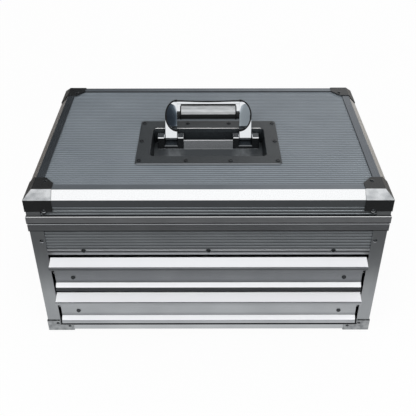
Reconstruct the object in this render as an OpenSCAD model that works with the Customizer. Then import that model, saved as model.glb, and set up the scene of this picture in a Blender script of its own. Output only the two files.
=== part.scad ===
// Portable tool box with two drawers, a lift-up lid and a fold-flat carrying handle.
// Ribbed boards are held in mitred aluminium profiles with sheet caps on the corners.
// X runs to the right, -Y is the drawer side and Z is up, in millimetres.

/* [Case] */
// Width over the corner caps
case_w = 450; // [420:1:520]
// Depth over the corner caps
case_d = 300; // [280:1:360]
// Height over the corner caps
case_h = 237; // [230:1:260]
// Height of the lid, from its joint with the case to the top of the caps
lid_h = 46; // [44:0.5:50]

/* [Aluminium profiles] */
// Wall of every aluminium profile
frame_t = 1.5; // [1.2:0.1:2]
// Width of each leg of the corner posts
post_leg = 17.5; // [16:0.5:19]
// Height of the bottom rails
rail_h = 12.7; // [12:0.1:14]
// Bevel along the bottom edges
rail_bevel = 3.5; // [2:0.1:4]
// Bevel along the top edges of the lid
lid_bevel = 9.5; // [8:0.5:11]
// Reach of the lid frame's top flange, from the outer face
lid_flange = 19.5; // [18:0.5:22]
// Height of the lid frame's outer face, measured from its top
lid_skirt = 19.6; // [17:0.1:21]

/* [Boards] */
// Thickness of the ribbed boards
board_t = 4; // [3.5:0.1:4.5]
// Distance between two ribs
rib_pitch = 4.7; // [4:0.1:6]
// Width of the groove between two ribs
rib_gap = 2.2; // [1.6:0.1:3]
// Depth of the groove between two ribs
rib_depth = 0.6; // [0.3:0.05:0.9]

/* [Closing profiles] */
// Height of the closing profile on the case
case_band_h = 11; // [9:0.5:13]
// How far the case's closing profile stands out from the posts
case_band_t = 1; // [0.8:0.1:1.3]
// Height of the closing profile on the lid
lid_band_h = 11.7; // [10:0.1:13]
// How far the lid's closing profile stands out from the posts
lid_band_t = 1.5; // [1.3:0.1:1.8]
// Bevel along the outer edges of both closing profiles
band_bevel = 0.9; // [0.5:0.1:1]
// Gap between the two closing profiles
seam_gap = 0.3; // [0.2:0.05:0.5]
// Height of the tongue that enters the lid's profile
tongue_h = 4.5; // [3:0.5:5]
// Thickness of the tongue
tongue_t = 1.6; // [1.2:0.1:2]
// Running gap beside and above the tongue
tongue_gap = 0.5; // [0.4:0.1:0.8]

/* [Corner caps] */
// Thickness of the sheet caps
cap_t = 1; // [0.8:0.1:1.2]
// Reach of a lid cap along the front
cap_x = 34.5; // [32:0.5:40]
// Reach of a lid cap along the side
cap_y = 41; // [38:0.5:46]
// Reach of a lid cap over the top, from the front
cap_flap = 23; // [22:0.5:26]
// Height of the lower edge of the lid caps under the top of the case
cap_drop = 27; // [24:0.5:30]
// Radius of the lobe round each cap rivet
cap_lobe = 4.5; // [4:0.1:5]
// Reach of a bottom cap along the front and the side
foot_reach = 35.5; // [32:0.5:40]
// Height of a bottom cap on the post
foot_h = 22; // [19:0.5:26]

/* [Front of the case] */
// Height of the fixed rail over the drawers
front_rail_h = 10; // [9:0.5:12]
// Gap between the upper drawer front and the fixed rail
front_rail_gap = 3.4; // [2.5:0.1:5]
// Height of the screw line in the rail, over its lower edge
front_rail_screw = 6.9; // [6:0.1:7]
// Setback of the rail's face from the posts
front_rail_setback = 0.4; // [0.2:0.1:0.6]
// Distance of the outer rail screws from the rail's ends
front_rail_screw_in = 46.5; // [30:0.5:80]
// Width of the groove that leads the rail screws
front_rail_groove = 1; // [0.6:0.1:1.4]

/* [Drawers] */
// Height of a drawer front
drawer_h = 57.6; // [54:0.1:60]
// Gap between the bottom rail and the lower drawer front
drawer_foot_gap = 4.2; // [3:0.1:6]
// Gap between the two drawer fronts
drawer_split = 3.8; // [3:0.1:5]
// Gap between a drawer front and each post
drawer_gap = 2.5; // [2:0.1:3.5]
// Wall of the drawer front profile
front_t = 1.5; // [1.2:0.1:1.8]
// Distance of the drawer front's web behind the posts' face
web_back = 3.5; // [2:0.1:4]
// Reach of the pull ledge in front of the posts' face
pull_reach = 16.5; // [14:0.5:20]
// Drop of the pull ledge from its root to its lip
pull_drop = 4.8; // [3:0.1:7]
// Height of the lip under the pull ledge
pull_lip = 4.2; // [3:0.1:6]
// Reach of the lower ledge in front of the web
sill_reach = 6; // [4:0.5:8]
// Height of the lip under the lower ledge
sill_lip = 4; // [3:0.1:5]
// Gap between a tray and the posts beside it
tray_side_gap = 8.5; // [8:0.5:12]
// Gap between a tray and the rear panel
tray_rear_gap = 25.5; // [20:0.5:60]
// Distance of a tray's rim under the top of its drawer front
tray_rim_drop = 5.1; // [4:0.1:12]
// Sheet of the drawer trays
tray_t = 1.2; // [0.8:0.1:1.6]
// Height of the tray's underside over the drawer front's lower edge
tray_lift = 3.5; // [3:0.1:5]
// Sheet of the runners and rails
runner_t = 1.5; // [1.2:0.1:2]
// Height of the runner over the tray's underside
runner_z = 22; // [18:1:26]
// Running gap of the runner in its rail
runner_gap = 0.3; // [0.25:0.05:0.5]
// Length that stays in the rail when a drawer is open
runner_hold = 44; // [40:1:80]
// Gap between a runner and the posts beside it
runner_post_gap = 0.7; // [0.5:0.1:1]
// Gap between a tray and the flanges of its rails
rail_tray_gap = 2.5; // [2.2:0.1:3.5]
// Gap between a drawer front and the rails behind it
rail_front_gap = 1; // [0.8:0.1:3]
// Distance of a drawer screw from the end of the drawer front
drawer_screw_in = 24; // [15:1:50]
// Height of a drawer screw over the drawer front's lower edge
drawer_screw_z = 19; // [16:0.5:24]

/* [Hinge] */
// Length of the hinge
hinge_len = 408; // [340:4:420]
// Number of knuckles
knuckles = 17; // [9:2:21]
// Outer radius of the knuckles
knuckle_r = 3; // [2.8:0.1:3.4]
// Radius of the hinge pin
hinge_pin_r = 1.5; // [1.2:0.1:1.7]
// Radial clearance of every pin in its moving bore
pin_clearance = 0.05; // [0.03:0.01:0.08]
// Thickness of the hinge leaves
leaf_t = 1; // [0.8:0.1:1.2]
// Height of a hinge leaf beside the seam
leaf_h = 10; // [8:0.5:11]
// Gap between the knuckles and what turns past them
hinge_gap = 0.3; // [0.25:0.05:0.5]

/* [Side latches] */
// Width of a latch lever
latch_w = 26; // [20:1:34]
// Height of the latch pin under the seam
latch_drop = 19; // [18.5:0.1:20]
// Distance of the latch pin outside the posts' face
latch_out = 5.5; // [5.2:0.1:6.5]
// Radius of the latch pin
latch_pin_r = 1.5; // [1.2:0.1:1.7]
// Radius of the lever's barrel
latch_barrel_r = 2.8; // [2.6:0.1:3]
// Sheet of the latch lever
latch_t = 1.5; // [1.2:0.1:1.6]
// Width of the latch base plate
latch_base_w = 44; // [40:1:56]
// Height of the latch base plate
latch_base_h = 38; // [30:1:46]
// How far the keeper stands out from the lid's closing profile
keeper_t = 2.5; // [2:0.1:2.8]
// Height of the keeper's top over the seam
keeper_h = 9.5; // [8:0.5:10]
// Gap between the closed lever and the keeper
latch_gap = 0.4; // [0.3:0.05:0.6]

/* [Handle dish] */
// Width of the dish over its flange
dish_w = 190; // [180:1:210]
// Depth of the dish over its flange
dish_d = 115; // [110:1:130]
// Distance of the dish's middle in front of the case's middle
dish_fore = 24.5; // [20:0.5:30]
// Width of the recess at the top
recess_w = 154; // [150:1:160]
// Depth of the recess at the top, front to back
recess_d = 74.6; // [74:0.1:80]
// Distance of the recess's middle in front of the case's middle
recess_fore = 25.7; // [24:0.1:27]
// Depth of the recess floor under the top of the case
recess_drop = 22; // [21:0.5:24]
// Draft of the recess walls
recess_draft = 2; // [1:0.5:3]
// Wall of the moulded dish
dish_t = 2; // [1.5:0.1:2.4]
// Distance of the side screws from the dish's middle
dish_screw_x = 90; // [88:0.5:91]
// Distance of the front and rear screws from the dish's middle
dish_screw_y = 50; // [49:0.5:52]
// Distance of the inner screws from the dish's middle
dish_inner_x = 29; // [24:1:60]
// Chamfer round the dish's flange and its recess
dish_edge = 0.7; // [0.3:0.1:1]
// Radius of the dish's corners
dish_corner = 4; // [3:0.5:8]
// Gap between the dish and the hole in the lid board
dish_gap = 0.75; // [0.5:0.05:1.5]

/* [Handle] */
// Depth of the handle pivot under the top of the case
pivot_drop = 10; // [9.5:0.1:11]
// Distance of the handle pivot behind the case's middle
pivot_y = 2; // [1:0.5:3]
// Lean of the raised handle to the rear
handle_lean = 25; // [0:1:26]
// Width of the handle over its legs
handle_w = 120; // [116:1:124]
// Width of each leg
leg_w = 17; // [14:0.5:18]
// Thickness of each leg
leg_t = 6.6; // [6:0.1:7]
// Height of each cheek
cheek_h = 44; // [40:1:44]
// Bulge of a cheek in front of its leg
cheek_fore = 5.5; // [3:0.1:5.6]
// Bulge of a cheek behind its leg
cheek_aft = 2; // [1:0.1:2.2]
// Distance of the grip's axis from the pivot
grip_up = 36.5; // [34:0.5:38]
// Radius of the grip
grip_r = 9.6; // [8.5:0.1:10]
// Length of the grip
grip_len = 75; // [70:1:80]
// Gap between the grip and the spine over it
spine_gap = 1; // [0.5:0.1:1.5]
// Height of the spine over the grip
spine_h = 4.3; // [3:0.1:5]
// Drop of the spine's top under the tops of the cheeks
spine_drop = 0.8; // [0.2:0.1:1]
// Radius of the handle pins
handle_pin_r = 1.9; // [1.5:0.1:2]
// Inner edge of each bracket, from the middle
bracket_in = 34; // [30:0.5:36]
// Outer edge of each bracket, from the middle
bracket_out = 70; // [66:0.5:72]
// Reach of the brackets in front of the pivot
bracket_fore = 12; // [11:0.5:12.5]
// Height of the brackets over the recess floor
bracket_h = 18.4; // [17:0.1:19]
// Depth of the slot for the folded leg, under the pivot
slot_drop = 6.3; // [6:0.1:7]
// Gap between a leg and its bracket
leg_gap = 0.4; // [0.3:0.05:0.6]
// Height of the bridge between the brackets
bridge_h = 14; // [10:0.5:15]
// Thickness of the bridge between the brackets
bridge_t = 2; // [1.5:0.1:4]

/* [Fasteners] */
// Radius of the rivet heads
rivet_r = 2.8; // [2.2:0.1:3.2]
// Height of the rivet heads
rivet_h = 1.2; // [0.8:0.1:1.6]
// Radius of the screw heads
screw_r = 3; // [2.4:0.1:3.2]
// Height of the screw heads
screw_h = 1.1; // [0.8:0.1:1.4]
// Distance of the post rivets under the case's closing profile
post_rivet_drop = 17; // [12:1:24]
// Distance of the post rivets from the posts' outer edge
post_rivet_in = 12.8; // [8:0.1:14]
// Distance of a bottom cap's rivet from the cap's end
foot_rivet_in = 5; // [4:0.5:8]
// Distance of a lid cap's rivet from the cap's end
cap_rivet_in = 11; // [8:0.5:14]
// Length of the cap flap's slope beside its rivet
cap_slope = 5; // [3:0.5:8]

/* [Hidden] */
$fn = 48;
// Sides of the case, as turns about Z from the front
front = 0;
right = 90;
rear = 180;
left = 270;
// Outer faces of the aluminium profiles
frame_x = case_w/2 - cap_t;
frame_y = case_d/2 - cap_t;
frame_z0 = cap_t;
frame_z1 = case_h - cap_t;
seam_z = case_h - lid_h; // joint between the case and the lid
bend = tan(22.5); // shift of a wall's inner corner at a 45 degree bend, per unit of wall
over = 1; // length by which a cutting solid passes a face
seat_gap = 0.1; // play of the side boards over the bottom rail
cap_shoulder = 8; // width of a lid cap's strip along the side, from its outer face
front_nose = 0.5; // bevel along a pull ledge's front edge
mitre_out = 4; // reach of the mitre planes outside the profiles
mitre_in = 30; // reach of the mitre planes inside the profiles
board_out = frame_t; // setback of a board's ribbed face from the profiles' outer face
board_in = board_out + board_t;
channel_in = board_in + frame_t;
wall_x = frame_x - board_in; // inner faces of the boards
wall_y = frame_y - board_in;
// Heights of the profiles
case_band_z = seam_z - case_band_h;
case_web_z = seam_z - frame_t;
lid_z = seam_z + seam_gap;
lid_web_z = seam_z + tongue_h + tongue_gap;
lid_band_top = lid_z + lid_band_h;
skirt_z = frame_z1 - lid_skirt;
strip_top = frame_z1 - lid_bevel - 2*frame_t;
rail_top = frame_z0 + rail_h;
base_z = frame_z0 + frame_t;
board_z = frame_z0 + rail_bevel + bend*frame_t + seat_gap; // the side boards stand inside the bevel
lid_board_top = frame_z1 - frame_t;
lid_board_z = lid_board_top - board_t;
lid_edge = lid_bevel + 2*frame_t; // inset of the lid board's edge
// Drawers
opening_half = frame_x - post_leg; // half the opening between the posts
drawer_half = opening_half - drawer_gap;
web_y = -frame_y + web_back + front_t; // rear face of the drawer front's web
drawer_z = rail_top + drawer_foot_gap;
drawer_bottoms = [drawer_z, drawer_z + drawer_h + drawer_split];
front_rail_z = drawer_bottoms[1] + drawer_h + front_rail_gap;
floor_mid = front_rail_z + front_rail_screw;
tray_half = opening_half - tray_side_gap;
tray_d = wall_y - tray_rear_gap - web_y;
tray_h = drawer_h - tray_lift - tray_rim_drop;
flange_x = opening_half - runner_post_gap; // outer edge of the runners
rail_in = tray_half + rail_tray_gap; // inner edge of the rails' flanges
drawer_travel = tray_d - runner_hold;
// Hinge
hinge_y = frame_y + lid_band_t + hinge_gap + knuckle_r;
hinge_z = seam_z + seam_gap/2;
knuckle_len = hinge_len/knuckles;
// The origin is in the middle of the whole box, from the pull ledges to the knuckles
front_reach = frame_y + pull_reach;
rear_reach = hinge_y + knuckle_r;
case_y = (front_reach - rear_reach)/2;
// Latches
latch_x = frame_x + latch_out;
latch_z = seam_z - latch_drop;
keeper_x = frame_x + lid_band_t + keeper_t;
lever_x = keeper_x + latch_gap; // inner face of the closed lever
hook_z = seam_z + keeper_h + latch_gap;
latch_ear = 5;
ear_t = 3;
ear_wall = 2.5; // steel round the latch pin
keeper_lip = 2; // height of the keeper's outer edge
// Dish and handle
pivot_z = case_h - pivot_drop;
dish_y = -dish_fore;
recess_y = -recess_fore;
recess_z = case_h - recess_drop;
dish_top = lid_board_top + dish_t;
leg_out = handle_w/2;
leg_in = leg_out - leg_w;
bracket_aft = recess_z + bracket_h - pivot_z; // radius of the brackets' rear, round the pivot
slot_z = pivot_z - slot_drop; // floor of the slot that takes the folded leg
// Heights on the handle, from its pivot
spine_foot = grip_up + grip_r + spine_gap;
spine_top = spine_foot + spine_h;
pin_inset = 1; // how far a pin's ends lie inside its bracket
grip_end_r = grip_r - 1;
cheek_layers = [[1, 0.05], [0.65, 0.75], [0.4, 1]]; // share of a cheek's outline and of its bulge
cheek_mid = spine_top + spine_drop - cheek_h/2;
// Rivets of the lid caps, and the screw line on the drawer fronts
cap_rivet_x = case_w/2 - cap_x + cap_rivet_in;
cap_rivet_y = case_d/2 - cap_flap - cap_lobe;
cap_side_y = case_d/2 - cap_y + cap_rivet_in;
cap_rivet_z = case_h - cap_drop + 1;
drawer_screw_x = drawer_half - drawer_screw_in;

// ---- Shared shapes ----

// Puts a shape that is drawn about the case's middle into the part's own frame.
module placed() translate([0, case_y, 0]) children();

module both_sides() {
    children();
    mirror([1, 0, 0]) children();
}

module all_corners() {
    both_sides() {
        children();
        mirror([0, 1, 0]) children();
    }
}

// Runs a section along one side of the case. The section's X is the distance in from the
// profiles' outer face and its Y is the height.
module side_run(turn, from, to) {
    across = turn % 180 == 0 ? frame_y : frame_x;
    rotate([0, 0, turn])
        translate([from, -across, 0])
            rotate([90, 0, 90]) linear_extrude(to - from) children();
}

// The same with mitred ends, so that four sections close into a frame.
module mitred_run(turn) {
    across = turn % 180 == 0 ? frame_y : frame_x;
    along = turn % 180 == 0 ? frame_x : frame_y;
    intersection() {
        side_run(turn, -along - mitre_out, along + mitre_out) children();
        rotate([0, 0, turn]) linear_extrude(case_h) polygon([
            [-along - mitre_out, -across - mitre_out], [along + mitre_out, -across - mitre_out],
            [along - mitre_in, -across + mitre_in], [-along + mitre_in, -across + mitre_in]]);
    }
}

// One groove between two ribs, as [place along the board, depth].
function groove(at) = [
    [at - rib_gap/2, 0], [at - rib_gap/4, rib_depth], [at + rib_gap/4, rib_depth], [at + rib_gap/2, 0]];

// Outline of a ribbed board between two places, with its grooves centred between them.
function ribbed(from, to) =
    let (n = floor((to - from)/rib_pitch), first = (from + to - (n - 1)*rib_pitch)/2)
    concat([[from, board_t], [from, 0]],
        [for (i = [0:n - 1]) each groove(first + i*rib_pitch)],
        [[to, 0], [to, board_t]]);

// Section of an upright board, for side_run().
module board_section(z0, z1) polygon([for (p = ribbed(z0, z1)) [board_out + p[1], p[0]]]);

module post_section() difference() {
    translate([frame_x - post_leg, frame_y - post_leg]) square(post_leg);
    translate([frame_x - post_leg - over, frame_y - post_leg - over]) square(post_leg + over - frame_t);
}

// Domed head on a face at z = 0.
module rivet_head(r = rivet_r, h = rivet_h) {
    dome = (r*r + h*h)/(2*h);
    intersection() {
        translate([0, 0, h - dome]) sphere(dome);
        cylinder(r = r, h = h);
    }
}

// Low head with a bevelled edge and a cross recess.
module screw_head() difference() {
    union() {
        cylinder(r = screw_r, h = screw_h/2);
        translate([0, 0, screw_h/2]) cylinder(r1 = screw_r, r2 = screw_r - screw_h/2, h = screw_h/2);
    }
    for (a = [0, 90]) rotate([0, 0, a])
        translate([-screw_r/2, -screw_r/10, screw_h/3]) cube([screw_r, screw_r/5, screw_h]);
}

module on_front(x, z, y = -frame_y) translate([x, y, z]) rotate([90, 0, 0]) children();
module on_rear(x, z) translate([x, frame_y, z]) rotate([-90, 0, 0]) children();
module on_side(y, z, x = frame_x) translate([x, y, z]) rotate([0, 90, 0]) children();

// Tube along X between two places.
module barrel(from, to, r, bore) translate([from, 0, 0]) rotate([0, 90, 0]) difference() {
    cylinder(r = r, h = to - from);
    translate([0, 0, -over]) cylinder(r = bore, h = to - from + 2*over);
}

// ---- Case ----

module base_panel() color("dimgray") placed()
    translate([-wall_x, -wall_y, base_z]) cube([2*wall_x, 2*wall_y, board_t]);

module side_panel() side_run(right, -frame_y + frame_t, wall_y) board_section(board_z, case_web_z);

module left_panel() color("slategray") placed() mirror([1, 0, 0]) side_panel();

module right_panel() color("slategray") placed() side_panel();

module rear_panel() color("slategray") placed()
    side_run(rear, -frame_x + frame_t, frame_x - frame_t) board_section(board_z, case_web_z);

module front_panel() color("slategray") placed()
    side_run(front, -wall_x, wall_x) board_section(front_rail_z + frame_t, case_web_z);

// U section over the lower edge of the front panel, with a groove that leads the screws.
module front_rail() color("gray") placed() {
    side_run(front, -opening_half, opening_half) difference() {
        translate([front_rail_setback, front_rail_z])
            square([channel_in - front_rail_setback, front_rail_h]);
        translate([board_out, front_rail_z + frame_t]) square([board_t, front_rail_h]);
        translate([0, floor_mid - front_rail_groove/2])
            square([front_rail_setback + frame_t/3, front_rail_groove]);
    }
}

module compartment_floor() color("dimgray") placed()
    translate([-wall_x, -frame_y + channel_in, floor_mid - board_t/2])
        cube([2*wall_x, wall_y + frame_y - channel_in, board_t]);

// Angle with a bevelled foot.
module bottom_rail(turn) {
    b = rail_bevel;
    inner = b + bend*frame_t;
    mitred_run(turn) polygon([
        [0, rail_top], [0, frame_z0 + b], [b, frame_z0], [post_leg, frame_z0], [post_leg, base_z],
        [inner, base_z], [frame_t, frame_z0 + inner], [frame_t, rail_top]]);
}

module bottom_rail_front() color("gray") placed() bottom_rail(front);

module bottom_rail_rear() color("gray") placed() bottom_rail(rear);

module bottom_rail_sides() color("gray") placed() both_sides() bottom_rail(right);

module corner_post() translate([0, 0, rail_top]) linear_extrude(case_web_z - rail_top) post_section();

module post_front_left() color("gray") placed() rotate([0, 0, 180]) corner_post();

module post_front_right() color("gray") placed() mirror([0, 1, 0]) corner_post();

module rear_posts() color("gray") placed() both_sides() corner_post();

// Outline of the case's foot across one direction, grown outwards.
function foot(half, grow) =
    let (cut = rail_bevel - bend*grow, z0 = frame_z0 - grow)
    [[-half - grow, foot_h + over], [-half - grow, z0 + cut], [-half - grow + cut, z0],
    [half + grow - cut, z0], [half + grow, z0 + cut], [half + grow, foot_h + over]];

// Solid inside the bottom profiles' outer faces, grown outwards.
module foot_block(grow) intersection() {
    translate([0, frame_y + grow, 0]) rotate([90, 0, 0]) linear_extrude(2*(frame_y + grow))
        polygon(foot(frame_x, grow));
    translate([-frame_x - grow, 0, 0]) rotate([90, 0, 90]) linear_extrude(2*(frame_x + grow))
        polygon(foot(frame_y, grow));
}

module bottom_cap() {
    outer_x = case_w/2;
    outer_y = case_d/2;
    intersection() {
        difference() {
            foot_block(cap_t);
            foot_block(0);
        }
        union() {
            linear_extrude(rail_top) polygon([
                [outer_x + over, outer_y + over], [outer_x + over, outer_y - foot_reach],
                [outer_x - post_leg, outer_y - foot_reach], [outer_x - foot_reach, outer_y - post_leg],
                [outer_x - foot_reach, outer_y + over]]);
            translate([outer_x - post_leg, outer_y - post_leg, 0])
                cube([post_leg + over, post_leg + over, foot_h]);
        }
    }
}

module bottom_caps() color("gray") placed() all_corners() bottom_cap();

// Closing profile of the case: a skin over the posts, a channel for the boards and a tongue.
module case_band(turn, tongue = tongue_h) mitred_run(turn) {
    far = board_in - tongue_gap;
    polygon(concat(
        [[0, case_band_z], [-case_band_t, case_band_z], [-case_band_t, seam_z - band_bevel],
        [band_bevel - case_band_t, seam_z]],
        tongue == 0 ? [] : [[far - tongue_t, seam_z], [far - tongue_t, seam_z + tongue],
            [far, seam_z + tongue], [far, seam_z]],
        [[channel_in, seam_z], [channel_in, case_band_z], [board_in, case_band_z],
        [board_in, case_web_z], [0, case_web_z]]));
}

module case_band_front() color("gray") placed() case_band(front);

module case_band_rear() color("gray") placed() case_band(rear, 0);

module case_band_left() color("gray") placed() case_band(left);

module case_band_right() color("gray") placed() case_band(right);

module case_rivets() color("silver") placed() {
    high = case_band_z - post_rivet_drop;
    low = foot_h - 2*rivet_r;
    leg_mid = frame_z0 + rail_h - rivet_r;
    small = rivet_r*0.8;
    both_sides() {
        on_front(frame_x - post_rivet_in, high) rivet_head();
        on_rear(frame_x - post_rivet_in, high) rivet_head();
        on_front(case_w/2 - foot_reach + foot_rivet_in, leg_mid, -case_d/2) rivet_head(small);
        on_front(case_w/2 - post_leg + rivet_r, low, -case_d/2) rivet_head(small);
        for (s = [-1, 1]) {
            on_side(s*(frame_y - post_rivet_in), high) rivet_head();
            on_side(s*(case_d/2 - foot_reach + foot_rivet_in), leg_mid, case_w/2) rivet_head(small);
        }
    }
}

module front_rail_screws() color("silver") placed()
    for (x = [-1, 0, 1]*(opening_half - front_rail_screw_in))
        on_front(x, floor_mid, -frame_y + front_rail_setback) screw_head();

// C rails on the side boards; the runners slide on the lower flange.
module drawer_rails() color("silver") placed() both_sides() for (z = drawer_bottoms) {
    base = z + tray_lift + runner_z;
    gap = runner_gap;
    t = runner_t;
    from = web_y + rail_front_gap;
    rotate([90, 0, 0]) translate([0, 0, -wall_y]) linear_extrude(wall_y - from) difference() {
        translate([rail_in, base - gap - t]) square([wall_x - rail_in, 3*t + 2*gap]);
        translate([rail_in - over, base - gap]) square([wall_x - rail_in - t + over, t + 2*gap]);
    }
}

// ---- Hinge ----

module hinge_axis() translate([0, hinge_y, hinge_z]) children();

// The knuckles of one leaf: first is 0 or 1.
module knuckle_row(first) for (i = [first:2:knuckles - 1])
    barrel(-hinge_len/2 + i*knuckle_len + (i > 0 ? hinge_gap/2 : 0),
        -hinge_len/2 + (i + 1)*knuckle_len - (i < knuckles - 1 ? hinge_gap/2 : 0),
        knuckle_r, hinge_pin_r + pin_clearance);

// Plate of one leaf against its profile, notched for the other leaf's knuckles.
module leaf_plate(inner, first) difference() {
    translate([-hinge_len/2, -inner, 0]) cube([hinge_len, leaf_t, leaf_h]);
    translate([-hinge_len/2 - over, 0, 0]) rotate([0, 90, 0])
        cylinder(r = hinge_pin_r + pin_clearance, h = hinge_len + 2*over);
    for (i = [1 - first:2:knuckles - 1])
        translate([-hinge_len/2 + i*knuckle_len - hinge_gap/2, -inner - over, -over])
            cube([knuckle_len + hinge_gap, leaf_t + 2*over, knuckle_r + 2*hinge_gap + over]);
}

module lower_hinge_leaf() color("silver") placed() hinge_axis() {
    knuckle_row(0);
    mirror([0, 0, 1]) leaf_plate(hinge_y - frame_y - case_band_t, 0);
}

module upper_hinge_leaf() color("silver") placed() hinge_axis() {
    knuckle_row(1);
    leaf_plate(hinge_y - frame_y - lid_band_t, 1);
}

module hinge_pin() color("silver") placed() hinge_axis()
    translate([-hinge_len/2, 0, 0]) rotate([0, 90, 0]) cylinder(r = hinge_pin_r, h = hinge_len);

// ---- Side latches ----

module latch_axis() translate([latch_x, 0, latch_z]) children();

// Cylinder along Y, centred on the latch pin.
module latch_round(r, w) latch_axis() rotate([90, 0, 0]) cylinder(r = r, h = w, center = true);

module latch_base() {
    ear_r = latch_pin_r + ear_wall;
    ear_y = latch_w/2 + latch_gap;
    plate_x = frame_x - board_out;
    difference() {
        union() {
            translate([plate_x, -latch_base_w/2, latch_z + ear_r + ear_wall - latch_base_h])
                cube([latch_t, latch_base_w, latch_base_h]);
            for (y = [-ear_y - ear_t, ear_y]) {
                translate([plate_x, y, latch_z - ear_r]) cube([latch_x - plate_x, ear_t, 2*ear_r]);
                translate([0, y + ear_t/2, 0]) latch_round(ear_r, ear_t);
            }
        }
        latch_round(latch_pin_r, latch_base_w);
    }
}

module latch_base_left() color("silver") placed() mirror([1, 0, 0]) latch_base();

module latch_base_right() color("silver") placed() latch_base();

module latch_pins() color("silver") placed() both_sides()
    latch_round(latch_pin_r, latch_w + 2*(latch_gap + ear_t));

// The lever as it lies when closed: a plate with a hook over the keeper and a finger lip.
module latch_lever() {
    hook_x = frame_x + lid_band_t + latch_gap;
    lip = latch_t;
    difference() {
        union() {
            latch_round(latch_barrel_r, latch_w);
            translate([0, latch_w/2, 0]) rotate([90, 0, 0]) linear_extrude(latch_w) polygon([
                [lever_x, latch_z], [lever_x, hook_z], [hook_x, hook_z], [hook_x, hook_z + latch_t],
                [lever_x + latch_t + lip, hook_z + latch_t], [lever_x + latch_t + lip, hook_z],
                [lever_x + latch_t, hook_z], [lever_x + latch_t, latch_z]]);
        }
        latch_round(latch_pin_r + pin_clearance, latch_w + 2*over);
    }
}

// The lever is stored released, hanging from its pin.
module hanging_lever() latch_axis() rotate([0, 180, 0]) translate([-latch_x, 0, -latch_z]) latch_lever();

module latch_left() color("silver") placed() mirror([1, 0, 0]) hanging_lever();

module latch_right() color("silver") placed() hanging_lever();

module latch_keepers() color("silver") placed() both_sides() {
    half = latch_w/2 - latch_t;
    top = seam_z + keeper_h;
    face = -lid_band_t;
    foot = lid_z + band_bevel;
    side_run(right, -half, half) polygon([
        [face, foot], [face, top], [face - keeper_t, top], [face - keeper_t, top - keeper_lip]]);
}

// ---- Lid ----

module lid_panel() color("slategray") placed() difference() {
    half_x = frame_x - lid_edge;
    half_y = frame_y - lid_edge;
    hole_w = recess_w + 2*(dish_t + dish_gap);
    hole_d = recess_d + 2*(dish_t + dish_gap);
    translate([-half_x, 0, 0]) rotate([90, 0, 90]) linear_extrude(2*half_x)
        polygon([for (p = ribbed(-half_y, half_y)) [p[0], lid_board_top - p[1]]]);
    translate([-hole_w/2, recess_y - hole_d/2, lid_board_z - over]) cube([hole_w, hole_d, board_t + 2*over]);
}

// Lid frame: a bevelled skin with one channel for the top board and one for the upright strip.
module lid_frame(turn) mitred_run(turn) {
    b = lid_bevel;
    inner = b + bend*frame_t;
    polygon([
        [lid_flange, frame_z1], [b, frame_z1], [0, frame_z1 - b], [0, skirt_z], [frame_t, skirt_z],
        [frame_t, frame_z1 - inner], [inner, lid_board_top], [lid_flange, lid_board_top]]);
    translate([lid_edge - frame_t, lid_board_z - frame_t]) square([frame_t, board_t + 2*frame_t]);
    translate([lid_edge - frame_t, lid_board_z - frame_t])
        square([lid_flange - lid_edge + frame_t, frame_t]);
    translate([frame_t/2, strip_top]) square([channel_in - frame_t/2, frame_t]);
    translate([board_in, skirt_z]) square([frame_t, strip_top + frame_t - skirt_z]);
}

module lid_frame_front() color("dimgray") placed() lid_frame(front);

module lid_frame_rear() color("dimgray") placed() lid_frame(rear);

module lid_frame_left() color("dimgray") placed() lid_frame(left);

module lid_frame_right() color("dimgray") placed() lid_frame(right);

module lid_strip(turn) mitred_run(turn) board_section(lid_web_z + frame_t, strip_top);

module lid_strip_front() color("slategray") placed() lid_strip(front);

module lid_strip_rear() color("slategray") placed() lid_strip(rear);

module lid_strip_sides() color("slategray") placed() both_sides() lid_strip(right);

// Closing profile of the lid: a skin and an inner leg with room for the tongue between them.
module lid_band(turn) mitred_run(turn) {
    web_top = lid_web_z + frame_t;
    polygon([
        [0, lid_z], [band_bevel - lid_band_t, lid_z], [-lid_band_t, lid_z + band_bevel],
        [-lid_band_t, lid_band_top - band_bevel], [band_bevel - lid_band_t, lid_band_top], [0, lid_band_top],
        [0, web_top], [board_in, web_top],
        [board_in, lid_band_top], [channel_in, lid_band_top], [channel_in, lid_z], [board_in, lid_z],
        [board_in, lid_web_z], [0, lid_web_z]]);
}

module lid_band_front() color("gray") placed() lid_band(front);

module lid_band_rear() color("gray") placed() lid_band(rear);

module lid_band_left() color("gray") placed() lid_band(left);

module lid_band_right() color("gray") placed() lid_band(right);

module lid_corner_angles() color("gray") placed() all_corners()
    translate([0, 0, lid_web_z + frame_t]) linear_extrude(skirt_z - lid_web_z - frame_t) post_section();

function roof(half, grow) = [
    [-half - grow, case_h - cap_drop], [half + grow, case_h - cap_drop],
    [half + grow, frame_z1 - lid_bevel + bend*grow], [half - lid_bevel + bend*grow, frame_z1 + grow],
    [-half + lid_bevel - bend*grow, frame_z1 + grow], [-half - grow, frame_z1 - lid_bevel + bend*grow]];

// Solid inside the lid frame's outer faces, grown outwards.
module lid_block(grow) intersection() {
    translate([0, frame_y + grow, 0]) rotate([90, 0, 0]) linear_extrude(2*(frame_y + grow))
        polygon(roof(frame_x, grow));
    translate([-frame_x - grow, 0, 0]) rotate([90, 0, 90]) linear_extrude(2*(frame_x + grow))
        polygon(roof(frame_y, grow));
}

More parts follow.
